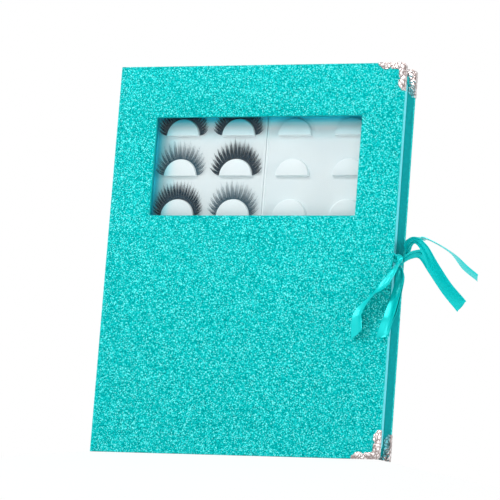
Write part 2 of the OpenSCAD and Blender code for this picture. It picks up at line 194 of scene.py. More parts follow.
for name, at, size, power in (
    ("key_light", KEY_AT, KEY_SIZE, KEY_POWER),
    ("left_light", LEFT_AT, LEFT_SIZE, LEFT_POWER),
    ("right_light", RIGHT_AT, RIGHT_SIZE, RIGHT_POWER),
):
    aim = (LOOK_AT - at).to_track_quat("-Z", "Y").to_euler()
    lamp = lay(bpy.ops.object.light_add, name, type="AREA", location=at, rotation=aim)
    lamp.data.size = size
    lamp.data.energy = power


# The three boards of the case: grey board covered in paper with a coat of coarse teal glitter, and in
# plain teal paper on the inside and round the window. The corners at the fore-edge are rounded, and the
# paper rounds every edge. The front board has a window cut through it.
BOARD_CORNER = 0.0025
PAPER_EDGE = 0.00035
WINDOW_LOW = (-0.0695, 0.1524)
WINDOW_HIGH = (0.0705, 0.2164)
FLAKES_PER_M = 1800
FINE_FLAKES_PER_M = 2600
FINE_SHARE = 0.22
FLAKE_TILT = 0.5
SMOOTH_ANGLE = math.radians(40)
NEAR = 1e-6
FACING = 0.9


def choose(piece, kind, test):
    """In edit mode, selects the vertices, edges or faces whose middle passes a test."""
    mesh = bmesh.from_edit_mesh(piece.data)
    bpy.ops.mesh.select_mode(type=kind)
    bpy.ops.mesh.select_all(action="DESELECT")
    for item in {"VERT": mesh.verts, "EDGE": mesh.edges, "FACE": mesh.faces}[kind]:
        middle = item.co if kind == "VERT" else sum((v.co for v in item.verts), Vector()) / len(item.verts)
        if test(middle, item):
            item.select_set(True)
    mesh.select_flush_mode()
    bmesh.update_edit_mesh(piece.data)


def coloured(name, roughness, metallic=0.0):
    """A new material, its node tree and its shader."""
    made = bpy.data.materials.new(name)
    made.use_nodes = True
    shader = made.node_tree.nodes["Principled BSDF"]
    shader.inputs["Roughness"].default_value = roughness
    shader.inputs["Metallic"].default_value = metallic
    return made, made.node_tree, shader


def ramp(tree, value, stops, interpolation="LINEAR"):
    """Turns a value from 0 to 1 into a colour."""
    made = add_node(tree, "ValToRGB", {"Fac": value})
    made.color_ramp.interpolation = interpolation
    while len(made.color_ramp.elements) < len(stops):
        made.color_ramp.elements.new(1)
    for element, (at, colour) in zip(made.color_ramp.elements, stops):
        element.position = at
        element.color = (*colour, 1)
    return made.outputs["Color"]


def glitter_paper(name):
    """Teal paper under flakes of two sizes, each with its own brightness and its own tilt. The near-white
    flakes are painted glints.
    """
    made, tree, shader = coloured(name, roughness=0.62, metallic=0.25)
    shader.inputs["Specular IOR Level"].default_value = 0
    place = add_node(tree, "TexCoord").outputs["Object"]
    coarse = add_node(tree, "TexVoronoi", {"Vector": place, "Scale": FLAKES_PER_M})
    fine = add_node(tree, "TexVoronoi", {"Vector": place, "Scale": FINE_FLAKES_PER_M})
    coarse_level = add_node(tree, "SeparateColor", {0: coarse.outputs["Color"]}).outputs["Red"]
    fine_level = add_node(tree, "SeparateColor", {0: fine.outputs["Color"]}).outputs["Green"]
    both = add_node(tree, "Mix", {"Factor": FINE_SHARE, "A": coarse_level, "B": fine_level})
    # The flakes' tone differs at random, and the brightest stops of the ramp, up to near-white cyan, are
    # painted glints.
    colour = ramp(tree, both.outputs["Result"], (
        (0.12, (0.0, 0.31, 0.31)),
        (0.35, (0.0, 0.47, 0.47)),
        (0.62, (0.002, 0.6, 0.6)),
        (0.76, (0.03, 0.9, 0.89)),
        (0.9, (0.26, 1.0, 1.0)),
    ))
    tree.links.new(colour, shader.inputs["Base Color"])
    own = coarse.outputs["Color"]
    tilt = add_node(tree, "VectorMath", {0: own, 1: (0.5, 0.5, 0.5)}, operation="SUBTRACT")
    tilt = add_node(tree, "VectorMath", {0: tilt.outputs[0], "Scale": FLAKE_TILT}, operation="SCALE")
    face = add_node(tree, "NewGeometry").outputs["Normal"]
    tilted = add_node(tree, "VectorMath", {0: tilt.outputs[0], 1: face}, operation="ADD")
    tilted = add_node(tree, "VectorMath", {0: tilted.outputs[0]}, operation="NORMALIZE")
    tree.links.new(tilted.outputs[0], shader.inputs["Normal"])
    return made


def inner_paper(piece, test):
    """Covers the faces of a board that pass a test in the plain teal paper."""
    piece.data.materials.append(plain_teal)
    for face in piece.data.polygons:
        if test(face.center, face.normal):
            face.material_index = 1


def finish(piece, material, slot, body, *nodes):
    """Gives a finished piece its material, its body and the nodes that it stands for."""
    piece.data.materials.clear()
    piece.data.materials.append(material)
    if body:
        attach(piece, body)
    if nodes:
        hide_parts(*nodes)
    return piece


def round_edges(piece, width, segments=2):
    """Rounds the edges of a piece and shades it smooth across them."""
    bevel = piece.modifiers.new("round", "BEVEL")
    bevel.width = width
    bevel.segments = segments
    bevel.limit_method = "ANGLE"
    bevel.angle_limit = math.radians(35)
    bpy.ops.object.select_all(action="DESELECT")
    piece.select_set(True)
    bpy.context.view_layer.objects.active = piece
    bpy.ops.object.modifier_apply(modifier=bevel.name)
    bpy.ops.object.shade_smooth_by_angle(angle=SMOOTH_ANGLE)


def board(name, low, high):
    """A board whose two corners at the fore-edge are rounded."""
    piece = block(name, low, high)
    bpy.ops.object.mode_set(mode="EDIT")
    choose(piece, "EDGE", lambda m, e: m.x > high.x - NEAR and min(m.z - low.z, high.z - m.z) < NEAR)
    bpy.ops.mesh.bevel(offset=BOARD_CORNER, segments=6, affect="EDGES")
    bpy.ops.object.mode_set(mode="OBJECT")
    return piece


glitter = glitter_paper("teal glitter paper")

plain_teal, tree, shader = coloured("plain teal paper", roughness=0.5)
shader.inputs["Specular IOR Level"].default_value = 0.3
place = add_node(tree, "TexCoord").outputs["Object"]
grain = add_node(tree, "TexNoise", {"Vector": place, "Scale": 700, "Detail": 3})
shade = ramp(tree, grain.outputs["Fac"], ((0.35, (0.0, 0.43, 0.44)), (0.65, (0.0, 0.48, 0.49))))
tree.links.new(shade, shader.inputs["Base Color"])
bump = add_node(tree, "Bump", {"Height": grain.outputs["Fac"], "Strength": 0.12, "Distance": 0.0001})
tree.links.new(bump.outputs[0], shader.inputs["Normal"])

low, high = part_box("back_cover")
back_board = board("back_board", low, high)
round_edges(back_board, PAPER_EDGE)
finish(back_board, glitter, "glitter", "case", "back_cover")
inner_paper(back_board, lambda m, n: n.y < -FACING)

low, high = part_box("spine_board")
spine_panel = block("spine_panel", low, high)
round_edges(spine_panel, PAPER_EDGE)
finish(spine_panel, glitter, "glitter", "spine", "spine_board")
inner_paper(spine_panel, lambda m, n: n.x > FACING)

low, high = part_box("front_cover")
front_board = board("front_board", low, high)
bpy.ops.object.mode_set(mode="EDIT")
for axis, places in ((0, (WINDOW_LOW[0], WINDOW_HIGH[0])), (2, (WINDOW_LOW[1], WINDOW_HIGH[1]))):
    for place in places:
        bpy.ops.mesh.select_all(action="SELECT")
        spot = [place if i == axis else 0 for i in range(3)]
        bpy.ops.mesh.bisect(plane_co=spot, plane_no=[float(i == axis) for i in range(3)])


def in_window(m, face):
    """The part of the front board's two faces that the window takes."""
    return (abs(face.normal.y) > FACING
            and WINDOW_LOW[0] < m.x < WINDOW_HIGH[0] and WINDOW_LOW[1] < m.z < WINDOW_HIGH[1])


choose(front_board, "FACE", in_window)
bpy.ops.mesh.bridge_edge_loops()
bpy.ops.mesh.select_all(action="SELECT")
bpy.ops.mesh.normals_make_consistent(inside=False)
bpy.ops.object.mode_set(mode="OBJECT")
round_edges(front_board, PAPER_EDGE)
finish(front_board, glitter, "glitter", "front", "front_cover")


def inside_front(m, n):
    """The inner face of the front board and the four faces round its window."""
    in_reveal = (WINDOW_LOW[0] - PAPER_EDGE < m.x < WINDOW_HIGH[0] + PAPER_EDGE
                 and WINDOW_LOW[1] - PAPER_EDGE < m.z < WINDOW_HIGH[1] + PAPER_EDGE)
    return n.y > FACING or (in_reveal and n.y > -0.6)


inner_paper(front_board, inside_front)


# The two joints: the covering paper runs on from the spine, round the bend and onto each cover, in one
# thin strip that is glued to both.
JOINT_T = 0.0003
BEND_R = 0.0015
BEND_STEPS = 12
LAP_STEPS = 3
spine_low, spine_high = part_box("spine_board")
cover_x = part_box("back_cover")[0].x


def joint_paper(name, spine_y, outer_y, node):
    """A strip from the edge of the spine's outer face, round the bend and onto a cover's outer face."""
    side = math.copysign(1, outer_y - spine_y)
    bend_y = outer_y - side * BEND_R
    piece = lay(
        bpy.ops.mesh.primitive_plane_add, name, size=1, rotation=(0, math.pi / 2, 0),
        location=(spine_low.x, (spine_y + bend_y) / 2, (spine_low.z + spine_high.z) / 2),
    )
    piece.scale = (spine_high.z - spine_low.z, abs(bend_y - spine_y), 1)
    settle(piece)
    bpy.ops.object.mode_set(mode="EDIT")
    choose(piece, "EDGE", lambda m, e: abs(m.y - bend_y) < NEAR)
    bpy.ops.mesh.spin(
        steps=BEND_STEPS, angle=side * math.pi / 2, center=(spine_low.x + BEND_R, bend_y, 0), axis=(0, 0, 1),
    )
    lap = (cover_x - spine_low.x - BEND_R) / LAP_STEPS
    for _ in range(LAP_STEPS):
        bpy.ops.mesh.extrude_region_move(TRANSFORM_OT_translate={"value": (lap, 0, 0)})
    bpy.ops.mesh.select_all(action="SELECT")
    bpy.ops.mesh.remove_doubles(threshold=NEAR)
    bpy.ops.mesh.normals_make_consistent(inside=False)
    if any(face.normal.x > FACING for face in bmesh.from_edit_mesh(piece.data).faces):
        bpy.ops.mesh.flip_normals()
    bpy.ops.object.mode_set(mode="OBJECT")
    wall = piece.modifiers.new("paper", "SOLIDIFY")
    wall.thickness = JOINT_T
    wall.offset = -1
    bpy.ops.object.modifier_apply(modifier=wall.name)
    bpy.ops.object.shade_smooth_by_angle(angle=SMOOTH_ANGLE)
    return finish(piece, glitter, "glitter", None, node)


front_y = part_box("front_cover")[0].y
front_joint = joint_paper("front_joint", spine_low.y, front_y, "front_hinge")
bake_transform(front_joint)

back_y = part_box("back_cover")[1].y
rear_joint = joint_paper("rear_joint", spine_high.y, back_y, "rear_hinge")
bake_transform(rear_joint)


# The linings: a sheet of plain teal paper glued inside each board, short of its edges. The front one has
# the window's opening and holds the film.
def repaint(node, material):
    """Gives a CAD node a new material."""
    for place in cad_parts[node].material_slots:
        place.material = material


for node in ("back_lining", "spine_lining", "front_lining"):
    repaint(node, plain_teal)


# The window's film: clear plastic sheet glued behind the front board. Near the window's upper and left
# edges it carries a painted teal shade, for the shade that falls under those edges onto the trays.
# How far the painted shade reaches in from the window's upper and left edges.
FILM_SHADE_DOWN = 0.0075
FILM_SHADE_IN = 0.0085
FILM_GLOSS_SHARE = 0.02

film, tree, shader = coloured("clear film", roughness=0.06)
shader.inputs["Base Color"].default_value = (0.93, 0.98, 1, 1)
place = add_node(tree, "TexCoord").outputs["Object"]
spot = add_node(tree, "SeparateXYZ", {0: place})
shade_under_top = add_node(tree, "MapRange", {
    "Value": spot.outputs["Z"], "From Min": WINDOW_HIGH[1] - FILM_SHADE_DOWN, "From Max": WINDOW_HIGH[1],
}, interpolation_type="SMOOTHSTEP")
shade_inside_left = add_node(tree, "MapRange", {
    "Value": spot.outputs["X"], "From Min": WINDOW_LOW[0] + FILM_SHADE_IN, "From Max": WINDOW_LOW[0],
}, interpolation_type="SMOOTHSTEP")
shade_mask = add_node(tree, "Math", {0: shade_under_top.outputs[0], 1: shade_inside_left.outputs[0]}, operation="MAXIMUM")
# Painted shade: the film turns teal towards the window's upper and left edges.
painted_shade = ramp(tree, shade_mask.outputs[0], (
    (0, (1.0, 1.0, 1.0)),
    (0.5, (0.74, 0.98, 1.0)),
    (1, (0.18, 0.9, 1.0)),
))
clear = add_node(tree, "BsdfTransparent", {"Color": painted_shade})
ripple = add_node(tree, "TexNoise", {"Vector": place, "Scale": 30})
bump = add_node(tree, "Bump", {"Height": ripple.outputs["Fac"], "Strength": 0.1, "Distance": 0.0005})
tree.links.new(bump.outputs[0], shader.inputs["Normal"])
sheet = add_node(tree, "MixShader", {0: FILM_GLOSS_SHARE, 1: clear.outputs[0], 2: shader.outputs[0]})
tree.links.new(sheet.outputs[0], tree.nodes["Material Output"].inputs["Surface"])
repaint("window_film", film)


# The inner box: four walls and a floor of card covered in light turquoise paper with a faint fibre, made
# up as one open box and glued down inside the back board.
box_paper, tree, shader = coloured("light turquoise box paper", roughness=0.6)
place = add_node(tree, "TexCoord").outputs["Object"]
fibre = add_node(tree, "TexNoise", {"Vector": place, "Scale": 900, "Detail": 3})
shade = ramp(tree, fibre.outputs["Fac"], ((0.35, (0.192, 0.787, 0.883)), (0.65, (0.208, 0.853, 0.957))))
tree.links.new(shade, shader.inputs["Base Color"])
bump = add_node(tree, "Bump", {"Height": fibre.outputs["Fac"], "Strength": 0.15, "Distance": 0.0001})
tree.links.new(bump.outputs[0], shader.inputs["Normal"])
for node in ("box_walls", "box_floor"):
    repaint(node, box_paper)


# The foam pad: a slab cut from white foam, with soft edges. It lies in the box and lifts the trays
# towards the window.
FOAM_EDGE = 0.0008
MERGE_ANGLE = math.radians(3)


def merged_copy(node, name):
    """A copy of a CAD node with its triangles merged into flat faces."""
    piece = bpy.data.objects.new(name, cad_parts[node].data.copy())
    bpy.context.collection.objects.link(piece)
    bpy.ops.object.select_all(action="DESELECT")
    piece.select_set(True)
    bpy.context.view_layer.objects.active = piece
    bpy.ops.object.mode_set(mode="EDIT")
    bpy.ops.mesh.select_all(action="SELECT")
    bpy.ops.mesh.remove_doubles(threshold=NEAR)
    bpy.ops.mesh.dissolve_limited(angle_limit=MERGE_ANGLE)
    bpy.ops.object.mode_set(mode="OBJECT")
    return piece


foam, tree, shader = coloured("white foam", roughness=0.95)
cells = add_node(tree, "TexVoronoi", {"Vector": add_node(tree, "TexCoord").outputs["Object"], "Scale": 1300})
shade = ramp(tree, cells.outputs["Distance"], ((0, (0.78, 0.8, 0.82)), (0.6, (0.92, 0.94, 0.95))))
tree.links.new(shade, shader.inputs["Base Color"])
bump = add_node(tree, "Bump", {"Height": cells.outputs["Distance"], "Strength": 0.4, "Distance": 0.0004})
tree.links.new(bump.outputs[0], shader.inputs["Normal"])

foam_slab = merged_copy("foam_pad", "foam_slab")
round_edges(foam_slab, FOAM_EDGE, segments=4)
finish(foam_slab, foam, "foam", "case", "foam_pad")


# The two lash trays: thin white plastic sheet formed over half-moon seats, with a low raised rim. Each
# seat has a flat top with soft edges, and in the left tray a lash is laid round its curved side.
SEAT_R = 0.011
SEAT_FOOT_R = 0.0114
SEAT_H = 0.0024
SEAT_EDGE = 0.0005
SEAT_SIDES = 96
RIM_W = 0.0014
RIM_H = 0.0005
RIM_EDGE = 0.00024
SHEET_T = 0.0005
BAND_FROM = math.radians(4)
BAND_R = 0.0117
ROWS, COLUMNS = 8, 2


def seat_place(row, column):
    """The middle of the flat side of a seat of the left tray, under its lash."""
    lash_low, lash_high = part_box(f"lash_row{row}_col{column}")
    return Vector(((lash_low.x + lash_high.x) / 2, 0, lash_low.z - BAND_R * math.sin(BAND_FROM)))


def half_moon(foot_y):
    """A half-moon seat round the origin's plumb line, its foot at foot_y."""
    seat = lay(
        bpy.ops.mesh.primitive_cone_add, "seat", vertices=SEAT_SIDES, radius1=SEAT_FOOT_R, radius2=SEAT_R,
        depth=SEAT_H, location=(0, foot_y - SEAT_H / 2, 0), rotation=(math.pi / 2, 0, 0),
    )
    settle(seat)
    bpy.ops.object.mode_set(mode="EDIT")
    bpy.ops.mesh.select_all(action="SELECT")
    bpy.ops.mesh.bisect(plane_co=(0, 0, 0), plane_no=(0, 0, 1), use_fill=True, clear_inner=True)
    choose(seat, "EDGE", lambda m, e: all(v.co.y < foot_y - SEAT_H + NEAR for v in e.verts))
    bpy.ops.mesh.bevel(offset=SEAT_EDGE, segments=4, affect="EDGES")
    bpy.ops.object.mode_set(mode="OBJECT")
    bpy.ops.object.shade_smooth_by_angle(angle=SMOOTH_ANGLE)
    return seat


def join(whole, parts):
    """Joins parts into a whole."""
    bpy.ops.object.select_all(action="DESELECT")
    for part in (*parts, whole):
        part.select_set(True)
    bpy.context.view_layer.objects.active = whole
    bpy.ops.object.join()


tray_plastic, tree, shader = coloured("white formed plastic", roughness=0.32)
place = add_node(tree, "TexCoord").outputs["Object"]
mottle = add_node(tree, "TexNoise", {"Vector": place, "Scale": 60, "Detail": 2})
shade = ramp(tree, mottle.outputs["Fac"], ((0.35, (0.86, 0.97, 1.0)), (0.65, (0.88, 0.98, 1.0))))
tree.links.new(shade, shader.inputs["Base Color"])
bump = add_node(tree, "Bump", {"Height": mottle.outputs["Fac"], "Strength": 0.1, "Distance": 0.0003})
tree.links.new(bump.outputs[0], shader.inputs["Normal"])

left_tray_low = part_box("left_tray")[0]
for node in ("left_tray", "right_tray"):
    low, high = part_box(node)
    foot_y = high.y - SHEET_T
    tray = block(f"{node}_sheet", (low.x, foot_y - RIM_H, low.z), high)
    bpy.ops.object.mode_set(mode="EDIT")
    choose(tray, "FACE", lambda m, f: f.normal.y < -FACING)
    bpy.ops.mesh.inset(thickness=RIM_W)
    bpy.ops.mesh.extrude_region_move(TRANSFORM_OT_translate={"value": (0, RIM_H, 0)})
    bpy.ops.object.mode_set(mode="OBJECT")
    round_edges(tray, RIM_EDGE)
    seat = half_moon(foot_y)
    seats = []
    for row in range(1, ROWS + 1):
        for column in range(1, COLUMNS + 1):
            copy = seat.copy()
            copy.data = seat.data.copy()
            bpy.context.collection.objects.link(copy)
            copy.location = seat_place(row, column) + Vector((low.x - left_tray_low.x, 0, 0))
            seats.append(copy)
    bpy.data.objects.remove(seat)
    join(tray, seats)
    finish(tray, tray_plastic, "tray", "case", node)


# The strip lashes: fine dark fibres knotted onto a cotton band in spiky tufts, the band pressed round a
# seat. There are three kinds: a dense dark one, a spiky black one and a sparse soft one.
HAIR_POINTS = 6
HAIR_R = 0.0001
TIP_THIN = 0.88
BAND_T = 0.00028
BAND_STEPS = 40
BAND_SINK = 0.0004
KINDS = {
    "dense": {"hairs": 270, "tufts": 24, "pull": 0.45, "length": 0.0122, "thick": 1.45},
    "spiky": {"hairs": 240, "tufts": 18, "pull": 0.68, "length": 0.0128, "thick": 1.6},
    "soft": {"hairs": 160, "tufts": 16, "pull": 0.6, "length": 0.0128, "thick": 1.0},
}
COLOURS = {"dense": (0.0, 0.02, 0.036), "spiky": (0.0, 0.014, 0.026), "soft": (0.012, 0.06, 0.09)}
LAYOUT = (("dense", "dense"), ("soft", "spiky"), ("dense", "soft"), ("spiky", "dense")) * 2
END_SHARE = 0.5
LOWER_LEAN = 0.86
UPPER_LEAN = 0.6
CURL = 0.0014
CURL_POWER = 1.6
THIN_POWER = 1.6
TUFT_DROP = 0.35
ROOT_SPREAD = (0.1, 0.9)
PULL_SPREAD = (0.6, 1.1)
REACH_SPREAD = (0.72, 1.05)
CURL_SPREAD = (0.5, 1)


def fan(angle):
    """A unit vector in the plane of the tray, from the fore-edge side up and round."""
    return Vector((math.cos(angle), 0, math.sin(angle)))


def hair_line(centre, share, kind):
    """Root, middle and tip of a hair at a share of the way along the band."""
    angle = BAND_FROM + (math.pi - 2 * BAND_FROM) * share
    length = kind["length"] * (END_SHARE + (1 - END_SHARE) * math.sin(angle))
    root = centre + (BAND_R + BAND_T) * fan(angle)
    middle = root + length / 2 * fan(math.pi / 2 + (angle - math.pi / 2) * LOWER_LEAN)
    tip = middle + length / 2 * fan(math.pi / 2 + (angle - math.pi / 2) * UPPER_LEAN)
    return root, middle, tip


def add_line(curve, points, radii):
    """Adds an open line to a curve, with its thickness at each point."""
    line = curve.splines.new("POLY")
    line.points.add(len(points) - 1)
    for spot, point, radius in zip(line.points, points, radii):
        spot.co = (*point, 1)
        spot.radius = radius


def lash(name, centre, kind, draw):
    """One lash, its band and its hairs, round the middle of a seat."""
    curve = bpy.data.curves.new(name, "CURVE")
    curve.dimensions = "3D"
    curve.bevel_depth = HAIR_R
    curve.bevel_resolution = 0
    turn = (math.pi - 2 * BAND_FROM) / BAND_STEPS
    band = [centre + BAND_R * fan(BAND_FROM + turn * i) for i in range(BAND_STEPS + 1)]
    add_line(curve, band, [BAND_T / HAIR_R] * len(band))
    for i in range(kind["hairs"]):
        share = (i + draw.uniform(*ROOT_SPREAD)) / kind["hairs"]
        tuft = (math.floor(share * kind["tufts"]) + 0.5) / kind["tufts"]
        root, middle, tip = hair_line(centre, share, kind)
        _, tuft_middle, tuft_tip = hair_line(centre, tuft, kind)
        pull = kind["pull"] * draw.uniform(*PULL_SPREAD)
        middle = middle.lerp(tuft_middle, pull / 2)
        tip = tip.lerp(tuft_tip, pull)
        reach = draw.uniform(*REACH_SPREAD) * (1 - TUFT_DROP * abs(share - tuft) * kind["tufts"])
        tip = root + (tip - root) * reach
        middle = root + (middle - root) * reach
        control = 2 * middle - (root + tip) / 2
        lift = CURL * draw.uniform(*CURL_SPREAD)
        points, radii = [], []
        for k in range(HAIR_POINTS):
            t = k / (HAIR_POINTS - 1)
            point = root * (1 - t) ** 2 + control * 2 * t * (1 - t) + tip * t * t
            points.append(point - Vector((0, lift * t ** CURL_POWER, 0)))
            radii.append(kind["thick"] * (1 - TIP_THIN * t ** THIN_POWER))
        add_line(curve, points, radii)
    piece = bpy.data.objects.new(name, curve)
    bpy.context.collection.objects.link(piece)
    bpy.ops.object.select_all(action="DESELECT")
    piece.select_set(True)
    bpy.context.view_layer.objects.active = piece
    bpy.ops.object.convert(target="MESH")
    return bpy.context.object


fibres = {}
for name, colour in COLOURS.items():
    fibres[name], tree, shader = coloured(f"{name} lash fibre", roughness=0.5)
    shader.inputs["Specular IOR Level"].default_value = 0.2
    place = add_node(tree, "TexCoord").outputs["Object"]
    # The strands differ in darkness at random, and the lighter streaks, up to 2.2 times the colour, are
    # painted highlights.
    strand_tone_and_highlight = add_node(tree, "TexNoise", {"Vector": place, "Scale": 700})
    shade = ramp(tree, strand_tone_and_highlight.outputs["Fac"], ((0.3, colour), (0.7, tuple(2.2 * c for c in colour))))
    tree.links.new(shade, shader.inputs["Base Color"])

for row, kinds in enumerate(LAYOUT, 1):
    for column, kind in enumerate(kinds, 1):
        node = f"lash_row{row}_col{column}"
        centre = seat_place(row, column)
        centre.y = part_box(node)[1].y - BAND_SINK
        draw = random.Random(10 * row + column)
        piece = lash(f"{node}_hairs", centre, KINDS[kind], draw)
        finish(piece, fibres[kind], "lash", "case", node)


# The four metal corners: thin sheet pressed with scrolls, silver plated, folded over the board's corner
# and pinched on both faces. Each leg carries two shells, and the heel between the legs is drawn in.
METAL_EDGE = 0.00012
LEG_W = 0.0044
HEEL_SHARE = 0.15
LEG_SHELLS = ((0.0062, 0.0046), (0.0132, 0.0039))
SHELL_LONG = 0.82
SHELL_DEEP = 0.4
SHELL_IN = 0.0007
SHELL_H = 0.0004
SHELL_SIDES = 20

silver, tree, shader = coloured("pressed silver", roughness=0.24, metallic=1.0)
place = add_node(tree, "TexCoord").outputs["Object"]
warp = add_node(tree, "TexNoise", {"Vector": place, "Scale": 160, "Detail": 1})
bent = add_node(tree, "Mix", {"Factor": 0.004, "A": place, "B": warp.outputs["Color"]}, data_type="VECTOR")
scrolls = add_node(tree, "TexVoronoi", {"Vector": bent.outputs[1], "Scale": 430}, feature="DISTANCE_TO_EDGE")
shade = ramp(tree, scrolls.outputs["Distance"], (
    (0.04, (0.3, 0.24, 0.23)),
    (0.15, (0.7, 0.63, 0.62)),
    (0.38, (0.95, 0.91, 0.92)),
))
tree.links.new(shade, shader.inputs["Base Color"])
bump = add_node(tree, "Bump", {"Height": scrolls.outputs["Distance"], "Strength": 0.7, "Distance": 0.0008})
tree.links.new(bump.outputs[0], shader.inputs["Normal"])


def shell(name, centre, along_edge, across, out):
    """A shallow dome pressed up out of the sheet, seen as a shell."""
    dome = lay(
        bpy.ops.mesh.primitive_uv_sphere_add, name, segments=SHELL_SIDES, ring_count=SHELL_SIDES // 2,
        radius=1, location=centre, scale=(along_edge, SHELL_H, across),
    )
    settle(dome)
    bpy.ops.object.mode_set(mode="EDIT")
    bpy.ops.mesh.select_all(action="SELECT")
    bpy.ops.mesh.bisect(plane_co=centre, plane_no=(0, -out, 0), clear_outer=True)
    bpy.ops.object.mode_set(mode="OBJECT")
    bpy.ops.object.shade_smooth()
    return dome


for node, body in (
    ("front_top_corner", "front"),
    ("front_bottom_corner", "front"),
    ("back_top_corner", "case"),
    ("back_bottom_corner", "case"),
):
    piece = merged_copy(node, f"{node}_metal")
    low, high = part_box(node)
    up = 1 if node.endswith("top_corner") else -1
    tip = Vector((high.x, 0, high.z if up > 0 else low.z))
    for corner in piece.data.vertices:
        back, down = tip.x - corner.co.x, up * (tip.z - corner.co.z)
        if back > LEG_W and down > LEG_W:
            corner.co.x = tip.x - LEG_W - HEEL_SHARE * (back - LEG_W)
            corner.co.z = tip.z - up * (LEG_W + HEEL_SHARE * (down - LEG_W))
    round_edges(piece, METAL_EDGE)
    out = -1 if body == "front" else 1
    face_y = low.y if body == "front" else high.y
    shells = []
    for reach, size in LEG_SHELLS:
        wide, deep = SHELL_LONG * size, SHELL_DEEP * size
        inwards = SHELL_IN + deep
        level = Vector((tip.x - reach, face_y, tip.z - up * inwards))
        upright = Vector((tip.x - inwards, face_y, tip.z - up * reach))
        shells.append(shell("shell", level, wide, deep, out))
        shells.append(shell("shell", upright, deep, wide, out))
    join(piece, shells)
    finish(piece, silver, "metal", body, node)


# The ribbon: satin 10 mm wide, glued inside each cover at half height and tied in a bow at the
# fore-edge. Each half of the ribbon is a tail that comes from its cover, and a loop of the bow.
MM = 0.001
RIBBON_T = 0.0003
RIBBON_STEPS = 8
RIBBON_ACROSS = 8
RIBBON_W = 0.01
PUCKER_SHARE = 0.16
PUCKERS = 1.5
TAIL_CUT = 0.003
DIP = 0.0007
LOOP_DIP = 0.0016
DIP_SHARE = 0.4
knot_low, knot_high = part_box("bow_knot")
knot_at = (knot_low + knot_high) / 2
fore_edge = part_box("back_cover")[1].x
front_in_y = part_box("front_cover")[1].y
back_in_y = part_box("back_cover")[0].y
TAB_GAP = 0.0004
TAB_RISE = 0.00035
EDGE_IN = 0.0024
EDGE_OUT = 0.0004
tab_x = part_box("box_walls")[1].x + TAB_GAP


def from_knot(*lines):
    """Points and half widths of a ribbon, in millimetres from the middle of the knot, in metres."""
    return [(knot_at + Vector(point) * MM, Vector(half) * MM) for point, half in lines]


def tab(y, *lines):
    """The glued end of a ribbon inside a cover: places and heights above the knot, and half widths."""
    return [
        (Vector((x, y, knot_at.z + rise * MM)), Vector((0, 0, half * MM)))
        for x, rise, half in lines
    ]


front_ribbon_line = tab(
    front_in_y + TAB_RISE,
    (tab_x, 0.4, 5), (fore_edge - EDGE_IN, 0.3, 4.4), (fore_edge + EDGE_OUT, -0.2, 2.6),
) + from_knot(
    ((2.1, -4.6, -1.6), (0.2, -0.4, 1.7)),
    ((2.9, -7.6, -5.2), (1.5, -1, 0.9)),
    ((2.3, -10.6, -9), (2.7, -1.9, 0.2)),
    ((0.2, -12, -13.5), (3, -2.5, -0.8)),
    ((-2.9, -12, -17.9), (3, -2.6, -1.4)),
    ((-6.2, -12.7, -21.9), (2.4, -3.9, -1.6)),
    ((-9.5, -13.2, -24.9), (2, -4.4, -1)),
    ((-17.8, -12.7, -34.9), (3.2, -3.4, -1.3)),
    ((-19.5, -12.1, -41.4), (4.1, -2.4, -0.7)),
    ((-19, -11.9, -49.8), (4.3, -2.3, -0.4)),
)
front_loop_line = from_knot(
    ((0.8, -1.5, -3.9), (1.8, -1.6, 0.2)),
    ((4.2, -4.2, -8.8), (2.6, -2.2, 0.2)),
    ((5.4, -7, -15.1), (3.6, -2.8, 0)),
    ((3.1, -12.8, -35.5), (4.2, -2.6, 0.1)),
    ((1.1, -13.2, -41.9), (4.4, -2.3, 0.2)),
    ((-0.8, -13.6, -49.8), (4.5, -2, 0.3)),
    ((-1.1, -12.9, -50.8), (4.5, -2, 0.3)),
    ((-0.8, -12.2, -49.6), (4.5, -2, 0.3)),
    ((1.1, -11.6, -41.9), (4.4, -2.3, 0.2)),
    ((3.8, -11.5, -35.5), (4.2, -2.6, 0.1)),
    ((5.3, -5.4, -15.4), (3.4, -2.6, 0)),
    ((3.5, -2.7, -9), (2.4, -2, 0.2)),
    ((0.8, 0.9, -4.1), (1.6, -1.4, 0.2)),
)
back_ribbon_line = tab(
    back_in_y - TAB_RISE,
    (tab_x, 0.6, 5), (fore_edge - EDGE_IN, 0.8, 4.2), (fore_edge + EDGE_OUT, 1.4, 2.4),
) + from_knot(
    ((1.8, 9.9, 4.6), (-0.9, -0.5, 2.3)),
    ((2.4, 8.8, 8.4), (-1.6, -1.8, 1.6)),
    ((4.2, 7.9, 12.4), (-1.3, -2.8, 0.9)),
    ((9, 7.8, 14.5), (-0.5, -3.8, 0.4)),
    ((17.3, 7.8, 13.5), (0.2, -4.8, -0.2)),
    ((32, 7.8, 5.4), (0, -4.8, -0.2)),
    ((42, 7.4, -4.2), (-0.7, -4.4, -1.2)),
    ((50.6, 6.8, -10.6), (-0.9, -4.4, -1.2)),
)
